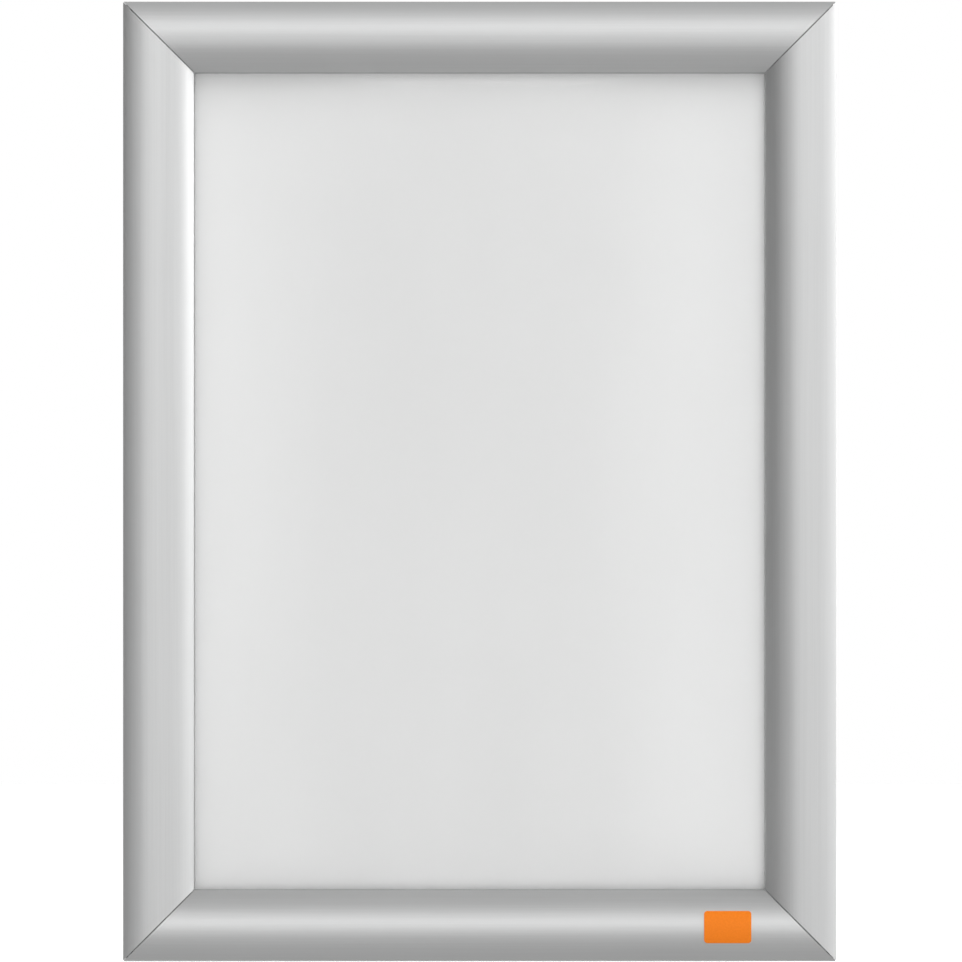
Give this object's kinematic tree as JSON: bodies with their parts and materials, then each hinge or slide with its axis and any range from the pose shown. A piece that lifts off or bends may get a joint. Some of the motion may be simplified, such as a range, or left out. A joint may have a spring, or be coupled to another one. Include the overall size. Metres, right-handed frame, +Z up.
{
  "type": "poster frame",
  "caption": "Slim portrait wall frame with mitred curved aluminium rails that hinge open at their outer edges over a clear cover sheet and a pale back panel.",
  "frame": {"origin": "middle of the frame's back, on the plane of the wall", "axes": "+X to the right and +Z up as seen from the front, +Y into the wall, so the front faces -Y"},
  "size_m": [0.252, 0.0122, 0.339],
  "materials": {
    "snap_rail": "satin anodised",
    "base_rail": "mill",
    "corner_key": "zinc plated",
    "leaf_spring": "spring steel",
    "back_panel": "smooth",
    "clear_cover": "anti-glare",
    "badge_label": "satin"
  },
  "bodies": {
    "base_frame": {"base_rail_bottom": "base_rail", "base_rail_right": "base_rail", "base_rail_top": "base_rail", "base_rail_left": "base_rail", "corner_key_bottom_left": "corner_key", "corner_key_bottom_right": "corner_key", "corner_key_top_right": "corner_key", "corner_key_top_left": "corner_key", "leaf_spring_bottom_left": "leaf_spring", "leaf_spring_bottom_right": "leaf_spring", "leaf_spring_right_lower": "leaf_spring", "leaf_spring_right_upper": "leaf_spring", "leaf_spring_top_right": "leaf_spring", "leaf_spring_top_left": "leaf_spring", "leaf_spring_left_upper": "leaf_spring", "leaf_spring_left_lower": "leaf_spring", "back_panel": "back_panel", "clear_cover": "clear_cover"},
    "bottom_snap_rail": {"snap_rail_bottom": "snap_rail", "badge_label": "badge_label"},
    "right_snap_rail": {"snap_rail_right": "snap_rail"},
    "top_snap_rail": {"snap_rail_top": "snap_rail"},
    "left_snap_rail": {"snap_rail_left": "snap_rail"}
  },
  "joints": [
    {"name": "bottom_rail_hinge", "type": "hinge", "parent": "base_frame", "child": "bottom_snap_rail", "pos_m": [0, -0.007, -0.16745], "axis": [1, 0, 0], "range_deg": [0, 70], "deforming": ["leaf_spring_bottom_left", "leaf_spring_bottom_right"]},
    {"name": "right_rail_hinge", "type": "hinge", "parent": "base_frame", "child": "right_snap_rail", "pos_m": [0.12395, -0.007, 0], "axis": [0, 0, 1], "range_deg": [0, 70], "deforming": ["leaf_spring_right_lower", "leaf_spring_right_upper"]},
    {"name": "top_rail_hinge", "type": "hinge", "parent": "base_frame", "child": "top_snap_rail", "pos_m": [0, -0.007, 0.16745], "axis": [-1, 0, 0], "range_deg": [0, 70], "deforming": ["leaf_spring_top_right", "leaf_spring_top_left"]},
    {"name": "left_rail_hinge", "type": "hinge", "parent": "base_frame", "child": "left_snap_rail", "pos_m": [-0.12395, -0.007, 0], "axis": [0, 0, -1], "range_deg": [0, 70], "deforming": ["leaf_spring_left_upper", "leaf_spring_left_lower"]}
  ]
}
